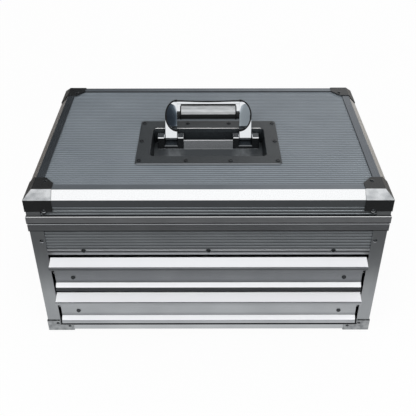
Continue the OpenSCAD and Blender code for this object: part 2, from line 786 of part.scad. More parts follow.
module lid_cap() {
    outer_x = case_w/2;
    outer_y = case_d/2;
    intersection() {
        difference() {
            lid_block(cap_t);
            lid_block(0);
        }
        linear_extrude(case_h + over) {
            polygon([
                [outer_x - cap_x, outer_y + over], [outer_x - cap_x, outer_y - cap_flap],
                [cap_rivet_x, outer_y - cap_y + cap_slope],
                [outer_x - cap_shoulder, outer_y - cap_y + cap_slope],
                [outer_x - cap_shoulder, outer_y - cap_y], [outer_x + over, outer_y - cap_y],
                [outer_x + over, outer_y + over]]);
            translate([cap_rivet_x, cap_rivet_y]) circle(cap_lobe);
        }
    }
    on_rear(cap_rivet_x, cap_rivet_z) cylinder(r = cap_lobe, h = cap_t);
    on_side(cap_side_y, cap_rivet_z) cylinder(r = cap_lobe, h = cap_t);
}

module lid_caps() color("darkslategray") placed() all_corners() lid_cap();

module lid_rivets() color("silver") placed() all_corners() {
    translate([cap_rivet_x, cap_rivet_y, case_h]) rivet_head();
    translate([0, cap_t, 0]) on_rear(cap_rivet_x, cap_rivet_z) rivet_head();
    on_side(cap_side_y, cap_rivet_z, case_w/2) rivet_head();
}

// ---- Handle ----

// Drafted block with round corners that fills the recess, grown outwards.
module recess_block(grow, z0, z1, draft = recess_draft) {
    half_x = recess_w/2 - recess_draft - dish_corner;
    half_y = recess_d/2 - recess_draft - dish_corner;
    r = dish_corner + grow;
    hull() for (x = [-half_x, half_x], y = [-half_y, half_y])
        translate([x, recess_y + y, z0]) cylinder(r1 = r, r2 = r + draft, h = z1 - z0, $fn = 32);
}

module dish_flange() translate([0, dish_y, lid_board_top]) {
    half_x = dish_w/2 - dish_corner;
    half_y = dish_d/2 - dish_corner;
    hull() for (x = [-half_x, half_x], y = [-half_y, half_y]) translate([x, y, 0]) {
        cylinder(r = dish_corner, h = dish_t - dish_edge, $fn = 32);
        cylinder(r = dish_corner - dish_edge, h = dish_t, $fn = 32);
    }
}

module handle_dish() color("darkslategray") placed() difference() {
    union() {
        dish_flange();
        recess_block(dish_t, recess_z - dish_t, dish_top - dish_edge);
    }
    recess_block(0, recess_z, dish_top + over);
    recess_block(recess_draft - dish_edge/2, dish_top - dish_edge, dish_top + over, over + dish_edge);
}

module dish_screws() color("gray") placed() translate([0, dish_y, dish_top]) {
    for (x = [-1, 1]*dish_screw_x, y = [-1, 0, 1]*dish_screw_y) translate([x, y, 0]) screw_head();
    for (x = [-1, 1]*dish_inner_x, y = [-1, 1]*dish_screw_y) translate([x, y, 0]) screw_head();
}

module pivot_axis() translate([0, pivot_y, pivot_z]) children();

// Puts a shape that is drawn from the pivot up along the handle in its resting place.
module leaning() pivot_axis() rotate([-handle_lean, 0, 0]) children();

// Cylinder along X between two places.
module rod(from, to, r) translate([from, 0, 0]) rotate([0, 90, 0]) cylinder(r = r, h = to - from);

module handle_bracket() difference() {
    slot_in = leg_in - leg_gap;
    slot_w = leg_w + 2*leg_gap;
    wide = bracket_out - bracket_in;
    stop_z = pivot_z - leg_t/4; // the leaning leg passes over the slot's rear wall
    union() {
        translate([bracket_in, pivot_y - bracket_fore, recess_z]) cube([wide, bracket_fore, bracket_h]);
        translate([bracket_in, pivot_y, recess_z]) cube([wide, bracket_aft, pivot_z - recess_z]);
        pivot_axis() rod(bracket_in, bracket_out, bracket_aft);
    }
    translate([slot_in, pivot_y - bracket_fore - over, slot_z])
        cube([slot_w, bracket_fore + over + leg_t/2 + leg_gap, bracket_h + bracket_aft]);
    translate([slot_in, pivot_y, stop_z]) cube([slot_w, bracket_aft + over, 2*bracket_aft]);
    pivot_axis() rod(bracket_in - over, bracket_out + over, handle_pin_r);
}

module handle_brackets() color("darkslategray") placed() both_sides() handle_bracket();

module handle_bridge() color("dimgray") placed()
    translate([-bracket_in, pivot_y - bracket_fore, recess_z]) cube([2*bracket_in, bridge_t, bridge_h]);

module handle_pins() color("silver") placed() both_sides() pivot_axis()
    rod(bracket_in + pin_inset, bracket_out - pin_inset, handle_pin_r);

// Half an ellipse to the right of the Y axis.
function half_ellipse(a, b, steps = 24) =
    [for (i = [0:steps]) let (t = 180*(i/steps - 0.5)) [a*cos(t), b*sin(t)]];

// One layer of a cheek, scaled about the middle of its flat side and as thick as the bulge allows.
module cheek_slice(share, bulge) translate([leg_in, leg_t/2 + bulge*cheek_aft, cheek_mid])
    rotate([90, 0, 0]) linear_extrude(leg_t + bulge*(cheek_fore + cheek_aft))
        polygon(half_ellipse(leg_w*share, cheek_h/2*share));

module handle_side() difference() {
    union() {
        translate([leg_in, -leg_t/2, 0]) cube([leg_w, leg_t, cheek_mid]);
        rod(leg_in, leg_out, leg_t/2);
        hull() {
            for (layer = cheek_layers) cheek_slice(layer[0], layer[1]);
        }
        translate([grip_len/2, -leg_t/2, grip_up])
            cube([leg_in + over - grip_len/2, leg_t, spine_top - grip_up]);
    }
    rod(leg_in - over, leg_out + over, handle_pin_r + pin_clearance);
}

module handle_frame() color("silver") placed() leaning() {
    both_sides() handle_side();
    edge = spine_h/5;
    half = leg_t/2;
    translate([-leg_in - over, 0, 0]) rotate([90, 0, 90]) linear_extrude(2*(leg_in + over)) polygon([
        [-half, spine_foot], [-half, spine_top - edge], [edge - half, spine_top], [half - edge, spine_top],
        [half, spine_top - edge], [half, spine_foot]]);
}

// The lower half of the grip runs on to the legs under the frame's end blocks.
module handle_grip() color("black") placed() leaning() translate([0, 0, grip_up]) {
    rod(-grip_len/2, grip_len/2, grip_r);
    both_sides() difference() {
        rod(grip_len/2 - over, leg_in, grip_end_r);
        translate([grip_len/2, -grip_r, 0]) cube([leg_in, 2*grip_r, grip_r]);
    }
}

// ---- Drawers ----

// Section of a drawer front: a web with a pull ledge above and a lower ledge below.
module drawer_front(z) color("gray") placed() translate([-drawer_half, 0, z]) rotate([90, 0, 90])
    linear_extrude(2*drawer_half) {
        t = front_t;
        top = drawer_h;
        pull_y = -frame_y - pull_reach;
        edge = top - pull_drop;
        sill = sill_lip + sill_reach;
        polygon([
            [web_y, top], [-frame_y, top], [pull_y + front_nose, edge], [pull_y, edge - front_nose],
            [pull_y, edge - pull_lip], [pull_y + t, edge - pull_lip], [pull_y + t, edge - t],
            [-frame_y, top - t], [web_y - t, top - t], [web_y - t, sill],
            [web_y - t - sill_reach, sill_lip], [web_y - t - sill_reach, 0], [web_y - sill_reach, 0],
            [web_y - sill_reach, sill_lip - bend*t], [web_y, sill - bend*t]]);
    }

module drawer_tray(z) color("lightgray") placed() translate([0, web_y, z + tray_lift]) difference() {
    inner = tray_half - tray_t;
    translate([-tray_half, 0, 0]) cube([2*tray_half, tray_d, tray_h]);
    translate([-inner, tray_t, tray_t]) cube([2*inner, tray_d - 2*tray_t, tray_h]);
}

module drawer_runners(z) color("silver") placed() both_sides()
    translate([tray_half, web_y, z + tray_lift + runner_z]) {
        translate([0, 0, -runner_z/4]) cube([runner_t, tray_d - runner_t, runner_z/2]);
        cube([flange_x - tray_half, tray_d - runner_t, runner_t]);
    }

module drawer_screws(z) color("silver") placed() both_sides()
    on_front(drawer_screw_x, z + drawer_screw_z, web_y - front_t) screw_head();

module lower_drawer_front() drawer_front(drawer_bottoms[0]);

module lower_drawer_tray() drawer_tray(drawer_bottoms[0]);

module lower_drawer_runners() drawer_runners(drawer_bottoms[0]);

module lower_drawer_screws() drawer_screws(drawer_bottoms[0]);

module upper_drawer_front() drawer_front(drawer_bottoms[1]);

module upper_drawer_tray() drawer_tray(drawer_bottoms[1]);

module upper_drawer_runners() drawer_runners(drawer_bottoms[1]);

module upper_drawer_screws() drawer_screws(drawer_bottoms[1]);

base_panel();
left_panel();
right_panel();
rear_panel();
front_panel();
front_rail();
compartment_floor();
bottom_rail_front();
bottom_rail_rear();
bottom_rail_sides();
post_front_left();
post_front_right();
rear_posts();
bottom_caps();
case_band_front();
case_band_rear();
case_band_left();
case_band_right();
case_rivets();
front_rail_screws();
drawer_rails();
lower_hinge_leaf();
hinge_pin();
latch_base_left();
latch_base_right();
latch_pins();
lid_panel();
lid_frame_front();
lid_frame_rear();
lid_frame_left();
lid_frame_right();
lid_strip_front();
lid_strip_rear();
lid_strip_sides();
lid_band_front();
lid_band_rear();
lid_band_left();
lid_band_right();
lid_corner_angles();
lid_caps();
lid_rivets();
upper_hinge_leaf();
latch_keepers();
handle_dish();
dish_screws();
handle_brackets();
handle_bridge();
handle_pins();
handle_frame();
handle_grip();
latch_left();
latch_right();
upper_drawer_front();
upper_drawer_tray();
upper_drawer_runners();
upper_drawer_screws();
lower_drawer_front();
lower_drawer_tray();
lower_drawer_runners();
lower_drawer_screws();
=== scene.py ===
import bpy, bmesh, math
from mathutils import Matrix, Vector


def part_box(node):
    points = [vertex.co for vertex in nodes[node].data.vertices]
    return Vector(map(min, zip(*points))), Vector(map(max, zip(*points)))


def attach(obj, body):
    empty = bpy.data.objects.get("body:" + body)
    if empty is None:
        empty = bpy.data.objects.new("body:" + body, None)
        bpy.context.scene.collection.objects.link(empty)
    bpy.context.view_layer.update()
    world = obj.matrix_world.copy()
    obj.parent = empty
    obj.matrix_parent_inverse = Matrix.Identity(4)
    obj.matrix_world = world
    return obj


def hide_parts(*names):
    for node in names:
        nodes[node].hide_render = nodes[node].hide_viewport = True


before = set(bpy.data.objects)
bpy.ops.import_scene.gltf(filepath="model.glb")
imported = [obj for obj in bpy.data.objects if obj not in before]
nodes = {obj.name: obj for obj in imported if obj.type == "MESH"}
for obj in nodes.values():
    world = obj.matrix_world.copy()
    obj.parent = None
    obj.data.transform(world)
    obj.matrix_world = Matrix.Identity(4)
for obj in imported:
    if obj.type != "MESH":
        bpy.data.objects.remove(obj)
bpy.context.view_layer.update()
scene = bpy.context.scene
mm = 0.001
caseY = 4.35 * mm  # the case's middle lies this far behind the frame's origin
print("frame loaded:", len(nodes), "nodes")


# colours are written as sRGB hex and shaded as linear; a bare number is a grey that is linear already
def linear(tone):
    if not isinstance(tone, str):
        return (tone, tone, tone, 1.0)
    rgb = [int(tone[i:i + 2], 16) / 255 for i in (1, 3, 5)]
    return tuple(c / 12.92 if c <= 0.04045 else ((c + 0.055) / 1.055) ** 2.4 for c in rgb) + (1.0,)


# adds one node with its settings and links and gives back its outputs: a socket feeds the input that it is given for,
# stops go on a ramp, and any other value goes on the input or on the node
def addNode(tree, kind, settings=None):
    made = tree.nodes.new("ShaderNode" + kind)
    for key, value in (settings or {}).items():
        if isinstance(value, bpy.types.NodeSocket):
            tree.links.new(value, made.inputs[key])
        elif key == "stops":
            elements = made.color_ramp.elements
            while len(elements) < len(value):
                elements.new(0.5)
            for element, (at, tone) in zip(elements, value):
                element.position = at
                element.color = linear(tone)
        elif isinstance(key, int) or key in made.inputs:
            made.inputs[key].default_value = linear(value) if isinstance(value, str) else value
        else:
            setattr(made, key, value)
    return made.outputs


# a new material with its tree, its shader and the coordinates of its surface
def startMaterial(name, colour, rough, metal=0.0, ior=None):
    material = bpy.data.materials.new(name)
    material.use_nodes = True
    tree = material.node_tree
    shader = tree.nodes["Principled BSDF"]
    shader.inputs["Base Color"].default_value = linear(colour)
    shader.inputs["Roughness"].default_value = rough
    shader.inputs["Metallic"].default_value = metal
    if ior:
        shader.inputs["IOR"].default_value = ior
    return material, tree, shader, addNode(tree, "TexCoord")


def feed(tree, shader, sources):
    for key, source in sources.items():
        tree.links.new(source, shader.inputs[key])


# noise with a cell size in millimetres, for all axes or for each
def grain(tree, place, cell, detail, rough=0.5):
    sizes = cell if isinstance(cell, tuple) else (cell, cell, cell)
    scaled = addNode(tree, "Mapping", {"Scale": tuple(1 / (s * mm) for s in sizes), "Vector": place["Object"]})
    return addNode(tree, "TexNoise", {"Scale": 1.0, "Detail": detail, "Roughness": rough, "Vector": scaled[0]})["Fac"]


# 0 to 1 from low to high along one axis, of a place in metres or of a normal
def fade(tree, vector, axis, low, high):
    value = addNode(tree, "SeparateXYZ", {"Vector": vector})[axis]
    return addNode(tree, "MapRange", {"From Min": low, "From Max": high, "Value": value})[0]


# 1 where all of the masks are 1
def together(tree, *masks):
    result = masks[0]
    for mask in masks[1:]:
        result = addNode(tree, "Math", {"operation": "MULTIPLY", 0: result, 1: mask})[0]
    return result


# lays tones over a colour, each where its mask is 1; a number leaves that share of the light
def layered(tree, tone, *layers):
    for mask, over in layers:
        share = isinstance(over, float)
        tone = addNode(tree, "Mix", {"data_type": "RGBA", "blend_type": "MULTIPLY" if share else "MIX", 0: mask,
                                     6: tone, 7: linear(over) if share else over})[2]
    return tone


# 0 to 1 on faces that lean between upright and flat, such as a bevel, going by the normal's z
def leaning(tree, place):
    return together(tree, *(fade(tree, place["Normal"], "Z", low, high) for low, high in ((0.5, 0.56), (0.92, 0.86))))


# metres from the case's middle along x or y, or above the ground along z
def distance(tree, place, axis):
    value = addNode(tree, "SeparateXYZ", {"Vector": place["Object"]})[axis]
    if axis == "Y":
        value = addNode(tree, "Math", {"operation": "SUBTRACT", 0: value, 1: caseY})[0]
    return value if axis == "Z" else addNode(tree, "Math", {"operation": "ABSOLUTE", 0: value})[0]


# 1 from one such distance to another
def between(tree, place, axis, low, high):
    value = distance(tree, place, axis)
    over = addNode(tree, "Math", {"operation": "GREATER_THAN", 0: value, 1: low})[0]
    return together(tree, over, addNode(tree, "Math", {"operation": "LESS_THAN", 0: value, 1: high})[0])


# two tones that drift into each other, over cells in millimetres
def clouded(tree, place, tones, cell, ends=(0.3, 0.7)):
    return addNode(tree, "ValToRGB", {"stops": list(zip(ends, tones)), "Fac": grain(tree, place, cell, 2)})[0]


# roughness and relief from one noise; the relief is its depth in millimetres and its strength
def roughen(tree, shader, noise, rough, relief):
    streak = addNode(tree, "ValToRGB", {"stops": list(zip((0.3, 0.7), rough)), "Fac": noise})[0]
    bump = addNode(tree, "Bump", {"Distance": relief[0] * mm, "Strength": relief[1], "Height": noise})[0]
    feed(tree, shader, {"Roughness": streak, "Normal": bump})
    return streak


# each base is what a shader starts from: roughness, metallic and IOR, with the colour first where there is only one
# the top, front and strip tones are one sheet, painted lighter on top and darker on the upright boards for the light
# that falls on them; the strip darkest
boards = {"base": (0.38, 0.0, 1.5), "top": ("#6d757c", "#757d84"), "front": ("#5c6063", "#64686b"),
          "strip": ("#4f5356", "#575b5e"), "rough": (0.3, 0.46), "relief": (0.05, 0.5), "peelMm": 0.7, "cloudMm": 60,
          "slopeLightShade": (1.6, 0.5), "stripSlopeLightShade": (4.6, 0.1), "turned": (0.35, 0.6), "groove": (0.12, 0.5),
          "grooveShade": 0.38, "jointH": 1.7, "jointShade": 0.42}


# ABS sheet, vacuum formed over a ribbed tool: satin, with a fine orange peel; the grooves are painted darker as
# shade. Reach is the ribbed face's distance from the case's middle, or its height
def ribbedAbs(name, tones, axis, reach, slopeLightShade, joint):
    material, tree, shader, place = startMaterial(name, tones[0], *boards["base"])
    tone = clouded(tree, place, tones, boards["cloudMm"], (0.3, 0.75))
    start, end = (reach - depth * mm for depth in boards["groove"])
    groove = addNode(tree, "MapRange", {"From Min": start, "From Max": end, "Value": distance(tree, place, axis)})[0]
    # painted shade in the grooves
    tone = layered(tree, tone, (groove, boards["grooveShade"]))
    towards, sign = ("Y", -1) if axis == "Z" else ("Z", 1)  # painted light and shade: the slope that faces the light is painted pale, the other darker
    for turn, share in zip((sign, -sign), slopeLightShade):
        low, high = (turn * limit for limit in boards["turned"])
        tone = layered(tree, tone, (fade(tree, place["Normal"], towards, low, high), share))
    if joint:  # painted shade along the joint at the sheet's foot
        foot = between(tree, place, "Z", joint - mm, joint + boards["jointH"] * mm)
        tone = layered(tree, tone, (foot, boards["jointShade"]))
    feed(tree, shader, {"Base Color": tone})
    roughen(tree, shader, grain(tree, place, boards["peelMm"], 2), boards["rough"], boards["relief"])
    return material


# real die lines, here and on the rail and the drawer fronts, are finer than a tenth of a millimetre: they are drawn
# wider so that they show up close
profiles = {"lidBand": ("#a9abae", "#b3b5b8"), "caseBand": ("#8b8d90", "#95979a"), "post": ("#95989b", "#9ea1a3"),
            "foot": ("#b0b3b6", "#b9bcbe"), "frame": ("#696f75", "#71777d"), "leftFrameShaded": ("#484d52", "#4e5358"),
            "rightFrameShaded": ("#595e64", "#60656b"), "frameMetal": 0.6, "rough": 0.34, "skirt": "#55585b",
            "skirtTurn": (0.4, 0.2), "downShade": "#7c7e80", "downShadeTurn": (-0.15, -0.4), "lidBevel": "#fbfcfd",
            "caseBevel": "#989a9d", "frameBevel": "#fbfcfd", "bevelRough": 0.216, "lip": "#1d1e1f", "lineMm": 0.25,
            "runMm": 40, "cloudMm": 45, "relief": (0.02, 0.4), "spread": (-0.05, 0.07)}


# aluminium, extruded and anodised grey: die lines along the length, soft sheen; each painted shade line is an
# axis, its start and end
def anodised(name, along, tones, rough=profiles["rough"], bevelTone=None, metal=1.0, shadeLines=(), upright=None,
             under=None):
    material, tree, shader, place = startMaterial(name, tones[0], rough, metal)
    size = [profiles["lineMm"]] * 3
    size[along] = profiles["runMm"]
    lines = grain(tree, place, tuple(size), 2)
    streak = roughen(tree, shader, lines, [rough + more for more in profiles["spread"]], profiles["relief"])
    tone = clouded(tree, place, tones, profiles["cloudMm"])
    if upright:  # painted shade: the upright face below the bevel is darker
        tone = layered(tree, tone, (fade(tree, place["Normal"], "Z", *profiles["skirtTurn"]), upright))
    if under:  # painted shade: faces that turn down towards the ground are darker
        tone = layered(tree, tone, (fade(tree, place["Normal"], "Z", *profiles["downShadeTurn"]), under))
    if bevelTone:  # the bevel is buffed bright, and its pale tone is partly a painted highlight
        bevel = leaning(tree, place)
        tone = layered(tree, tone, (bevel, bevelTone))
        feed(tree, shader, {
            "Metallic": addNode(tree, "MapRange", {"To Min": metal, "To Max": 1.0, "Value": bevel})[0],
            "Roughness": layered(tree, streak, (bevel, linear(profiles["bevelRough"])))})
    for lip in shadeLines:  # painted shade along a joint or an edge
        tone = layered(tree, tone, (between(tree, place, *lip), profiles["lip"]))
    feed(tree, shader, {"Base Color": tone})
    return material


# drawn aluminium rail, lacquered: beads and a groove run along it, their light and shade painted as bands of
# tone, in millimetres above its lower edge
railLook = {"base": ("#909295", 0.33, 1.0), "high": 10, "lines": (40, 0.3, 0.3), "rough": (0.27, 0.4),
            "relief": (0.02, 0.4),
            "beadLightShade": ((0, "#7a7c7f"), (0.6, "#a8aaad"), (1.5, "#b4b6b9"), (2.6, "#a8aaad"), (3.4, "#909295"),
                      (4.7, "#808285"), (5, "#3a3b3c"), (6, "#3e3f40"), (6.5, "#b0b2b5"), (7.5, "#dfe1e4"),
                      (9, "#c9cbce"), (9.7, "#8a8c8e"))}


def railProfile():
    material, tree, shader, place = startMaterial("drawn aluminium rail", *railLook["base"])
    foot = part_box("front_rail")[0].z
    share = fade(tree, place["Object"], "Z", foot, foot + railLook["high"] * mm)
    beadLightShade = [(at / railLook["high"], tone) for at, tone in railLook["beadLightShade"]]
    feed(tree, shader, {"Base Color": addNode(tree, "ValToRGB", {"stops": beadLightShade, "Fac": share})[0]})
    roughen(tree, shader, grain(tree, place, railLook["lines"], 2), railLook["rough"], railLook["relief"])
    return material


# the two fronts are one extrusion: the upper is painted darker than the lower, as shade
fronts = {"base": (0.33, 1.0), "upper": ("#898c90", "#929599"), "lower": ("#a2a5a8", "#abaeb1"), "upperLip": 0.4,
          "lowerLip": 1.7, "ledge": "#fafbfe", "ledgeTurn": (0.25, 0.4), "flatTurn": (0.975, 0.99),
          "ledgeRough": 0.216, "ledgeMetal": 0.04, "lines": (60, 0.3, 0.3), "rough": (0.27, 0.4),
          "relief": (0.02, 0.4), "cloudMm": 50, "shadeLineH": 5.2, "sillTop": 10, "shadeH": 6, "shade": 0.62, "noseD": 1.5,
          "edge": 0.2}


# aluminium drawer front: satin web; where the pull ledges turn up they are bead blasted pale and painted nearly
# white, as painted light
def satinFront(drawer):
    tones, box = fronts[drawer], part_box(drawer + "_drawer_front")
    name = "satin aluminium {} front".format(drawer)
    material, tree, shader, place = startMaterial(name, tones[0], *fronts["base"])
    tone = clouded(tree, place, tones, fronts["cloudMm"])
    lines = grain(tree, place, fronts["lines"], 2)
    streak = roughen(tree, shader, lines, fronts["rough"], fronts["relief"])
    foot, top, reach = box[0].z, box[1].z, caseY - box[0].y
    sill = foot + fronts["sillTop"] * mm
    dusk = fade(tree, place["Object"], "Z", sill + fronts["shadeH"] * mm, sill)  # painted shade: the web darkens towards the sill
    # painted shade on the upper front's lowest edge, painted light on the lower front's
    lip = between(tree, place, "Z", foot, foot + fronts["shadeLineH"] * mm)
    masked = between(tree, place, "Y", reach - fronts["noseD"] * mm, reach + mm)
    for other in (fade(tree, place["Normal"], "Z", *fronts["flatTurn"]), lip,
                  between(tree, place, "Z", top - fronts["edge"] * mm, top + mm)):
        masked = addNode(tree, "Math", {"operation": "MAXIMUM", 0: masked, 1: other})[0]
    ledge = addNode(tree, "Math", {"operation": "SUBTRACT", "use_clamp": True, 1: masked,
                                   0: fade(tree, place["Normal"], "Z", *fronts["ledgeTurn"])})[0]
    feed(tree, shader, {
        "Base Color": layered(tree, tone, (dusk, fronts["shade"]), (lip, fronts[drawer + "Lip"]),
                              (ledge, fronts["ledge"])),
        "Metallic": addNode(tree, "MapRange", {"To Min": 1.0, "To Max": fronts["ledgeMetal"], "Value": ledge})[0],
        "Roughness": layered(tree, streak, (ledge, linear(fronts["ledgeRough"])))})
    return material


blackLook = {"peelMm": 0.9, "relief": (0.04, 0.5), "spread": (-0.05, 0.1)}


# black enamel, lacquer or rubber: an even sheen broken by a fine orange peel
def satinBlack(name, colour, rough, ior=1.42):
    material, tree, shader, place = startMaterial(name, colour, rough, ior=ior)
    peel = grain(tree, place, blackLook["peelMm"], 2)
    roughen(tree, shader, peel, [rough + more for more in blackLook["spread"]], blackLook["relief"])
    return material, tree, shader, place


capLook = {"body": "#1a1b1c", "rough": 0.3, "bevel": [(0.3, "#b0b3b6"), (0.66, "#e4e6e8")], "cloud": (14, 8, 8),
           "turned": 0.4}


# steel sheet, stove enamelled black; painted highlight: its bevels facing front and rear are bright metal, clouded
# for the highlight's uneven fall
def enamelledCap():
    look = capLook
    material, tree, shader, place = satinBlack("black enamelled steel cap", look["body"], look["rough"])
    turned = addNode(tree, "SeparateXYZ", {"Vector": place["Normal"]})["Y"]
    for operation, value in (("ABSOLUTE", 0), ("GREATER_THAN", look["turned"])):
        turned = addNode(tree, "Math", {"operation": operation, 0: turned, 1: value})[0]
    bevel = together(tree, leaning(tree, place), turned)
    bright = addNode(tree, "ValToRGB", {"stops": look["bevel"], "Fac": grain(tree, place, look["cloud"], 1)})[0]
    feed(tree, shader, {"Base Color": layered(tree, look["body"], (bevel, bright)), "Metallic": bevel})
    return material


bracketLook = {"body": "#17191b", "rough": 0.25, "ior": 1.5, "top": "#30353a", "topTurn": (0.9, 0.98),
               "foot": "#8d9093", "bevel": "#f4f6f8", "lowBevel": "#7a7d80", "topH": 4}


# steel sheet, stove enamelled black: painted light on the top faces, painted glints on the bevels, weaker below the
# top, and a painted highlight along the foot
def enamelledBracket():
    look = bracketLook
    material, tree, shader, place = satinBlack("black enamelled bracket", look["body"], look["rough"], look["ior"])
    foot, top = (corner.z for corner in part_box("handle_brackets"))
    bevel = leaning(tree, place)
    bright = layered(tree, look["bevel"], (between(tree, place, "Z", 0, top - look["topH"] * mm), look["lowBevel"]))
    feed(tree, shader, {"Metallic": bevel, "Base Color": layered(
        tree, look["body"], (fade(tree, place["Normal"], "Z", *look["topTurn"]), look["top"]),
        (between(tree, place, "Z", foot - mm, foot + mm), look["foot"]), (bevel, bright))})
    return material


footLook = {"base": ("#8a8d90", 0.42, 0.6), "mottle": [(0.3, "#787b7e"), (0.55, "#9a9d9f"), (0.75, "#a4a7a9")],
            "mottleMm": 6, "peelMm": 0.8, "relief": (0.05, 0.6), "edgeShade": "#1c1d1e",
            "edgeShadeBreaks": [(0.35, 0.2), (0.55, 1)], "edgeShadeMm": 3, "edgeShadeH": 0.9}


# grey painted steel foot caps: satin, slightly mottled; painted shade in a broken dark line along the top edge,
# where the cap meets the post
def greyPaint():
    look, top = footLook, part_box("bottom_caps")[1].z
    material, tree, shader, place = startMaterial("grey painted steel", *look["base"])
    tone = addNode(tree, "ValToRGB", {"stops": look["mottle"], "Fac": grain(tree, place, look["mottleMm"], 3)})[0]
    edgeShadeBreaks = addNode(tree, "ValToRGB", {"stops": look["edgeShadeBreaks"], "Fac": grain(tree, place, look["edgeShadeMm"], 2)})[0]
    edge = together(tree, between(tree, place, "Z", top - look["edgeShadeH"] * mm, top + mm), edgeShadeBreaks)
    depth, strength = look["relief"]
    feed(tree, shader, {"Base Color": layered(tree, tone, (edge, look["edgeShade"])), "Normal": addNode(tree, "Bump", {
        "Distance": depth * mm, "Strength": strength, "Height": grain(tree, place, look["peelMm"], 2)})[0]})
    return material


# the real grain is about 0.2 mm: it is drawn coarser so that it shows
dishLook = {"base": (0.5, 0.0, 1.49), "plastic": ("#1a1e21", "#22272a"), "cloudMm": 30, "rim": "#ffffff",
            "rimHighlightTurn": (-0.6, -0.68), "rimH": 6, "grainMm": 0.8, "rough": (0.3, 0.48), "relief": (0.12, 0.5),
            "specks": [(0.4, 0.0), (0.75, 1.0)], "speckMm": 1.6, "speckle": 0.22, "dust": "#454a4e",
            "wallShade": 0.7, "floor": "#43474a", "floorTurn": (0.8, 0.95), "lip": "#787d81", "pale": "#777b7e",
            "legReflectionX": 46, "legReflectionW": (15, 7), "streaks": (5, 14, 5), "broken": (0.1, 0.8)}


# polypropylene, moulded against a spark-eroded tool: even fine grain; a painted highlight on the rear rim's bevel,
# which faces the user
def mouldedPlastic():
    look = dishLook
    material, tree, shader, place = startMaterial("moulded polypropylene", look["plastic"][0], *look["base"])
    roughen(tree, shader, grain(tree, place, look["grainMm"], 3, 0.6), look["rough"], look["relief"])
    tone = clouded(tree, place, look["plastic"], look["cloudMm"])
    specks = addNode(tree, "ValToRGB", {"stops": look["specks"],
                                        "Fac": grain(tree, place, look["speckMm"], 3, 0.7)})[0]
    low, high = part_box("handle_dish")
    deep = between(tree, place, "Z", 0, high.z - look["rimH"] * mm)
    floor = together(tree, deep, fade(tree, place["Normal"], "Z", *look["floorTurn"]))
    offset = distance(tree, place, "X")  # from the middle of each of the two pale spots painted on the floor as reflections of the handle's legs
    for operation, value in (("SUBTRACT", look["legReflectionX"] * mm), ("ABSOLUTE", 0)):
        offset = addNode(tree, "Math", {"operation": operation, 0: offset, 1: value})[0]
    start, end = (width * mm for width in look["legReflectionW"])
    window = addNode(tree, "MapRange", {"From Min": start, "From Max": end, "Value": offset})[0]
    broken = addNode(tree, "ValToRGB", {"stops": list(zip((0.3, 0.7), look["broken"])),
                                        "Fac": grain(tree, place, look["streaks"], 3, 0.7)})[0]
    front, middle = fade(tree, place["Normal"], "Y", *look["rimHighlightTurn"]), (low.y + high.y) / 2
    behind = fade(tree, place["Object"], "Y", middle, middle + 2 * mm)
    before = addNode(tree, "Math", {"operation": "SUBTRACT", 0: 1.0, 1: behind})[0]
    # painted shade darkens the recess, and painted light makes its floor paler than its walls
    feed(tree, shader, {"Base Color": layered(
        tree, tone, (layered(tree, specks, (specks, look["speckle"])), look["dust"]), (deep, look["wallShade"]),
        (floor, look["floor"]), (together(tree, floor, window, broken), look["pale"]),
        (together(tree, front, before), look["lip"]),  # the flange's front-facing cut edge is painted pale
        (together(tree, front, leaning(tree, place), behind), look["rim"]))})
    return material


castLook = {"base": ("#65676a", 0.55, 0.3), "tones": [(0.3, "#6a6d70"), (0.7, "#9b9ea1")], "foot": "#b4b7b9",
            "top": "#e6e8ea", "topTurn": (0.4, 0.5), "wrinkleMm": 1.1, "relief": (0.3, 0.8)}


# cast zinc with a coarse wrinkle paint; painted light on the top faces and a painted highlight along the foot
def wrinklePaint():
    material, tree, shader, place = startMaterial("wrinkle painted zinc", *castLook["base"])
    cells = grain(tree, place, castLook["wrinkleMm"], 4, 0.7)
    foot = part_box("handle_bridge")[0].z
    tone = addNode(tree, "ValToRGB", {"stops": castLook["tones"], "Fac": cells})[0]
    tone = layered(tree, tone, (between(tree, place, "Z", foot - mm, foot + mm), castLook["foot"]),
                   (fade(tree, place["Normal"], "Z", *castLook["topTurn"]), castLook["top"]))
    depth, strength = castLook["relief"]
    feed(tree, shader, {"Base Color": tone, "Normal": addNode(tree, "Bump", {
        "Distance": depth * mm, "Strength": strength, "Height": cells})[0]})
    return material


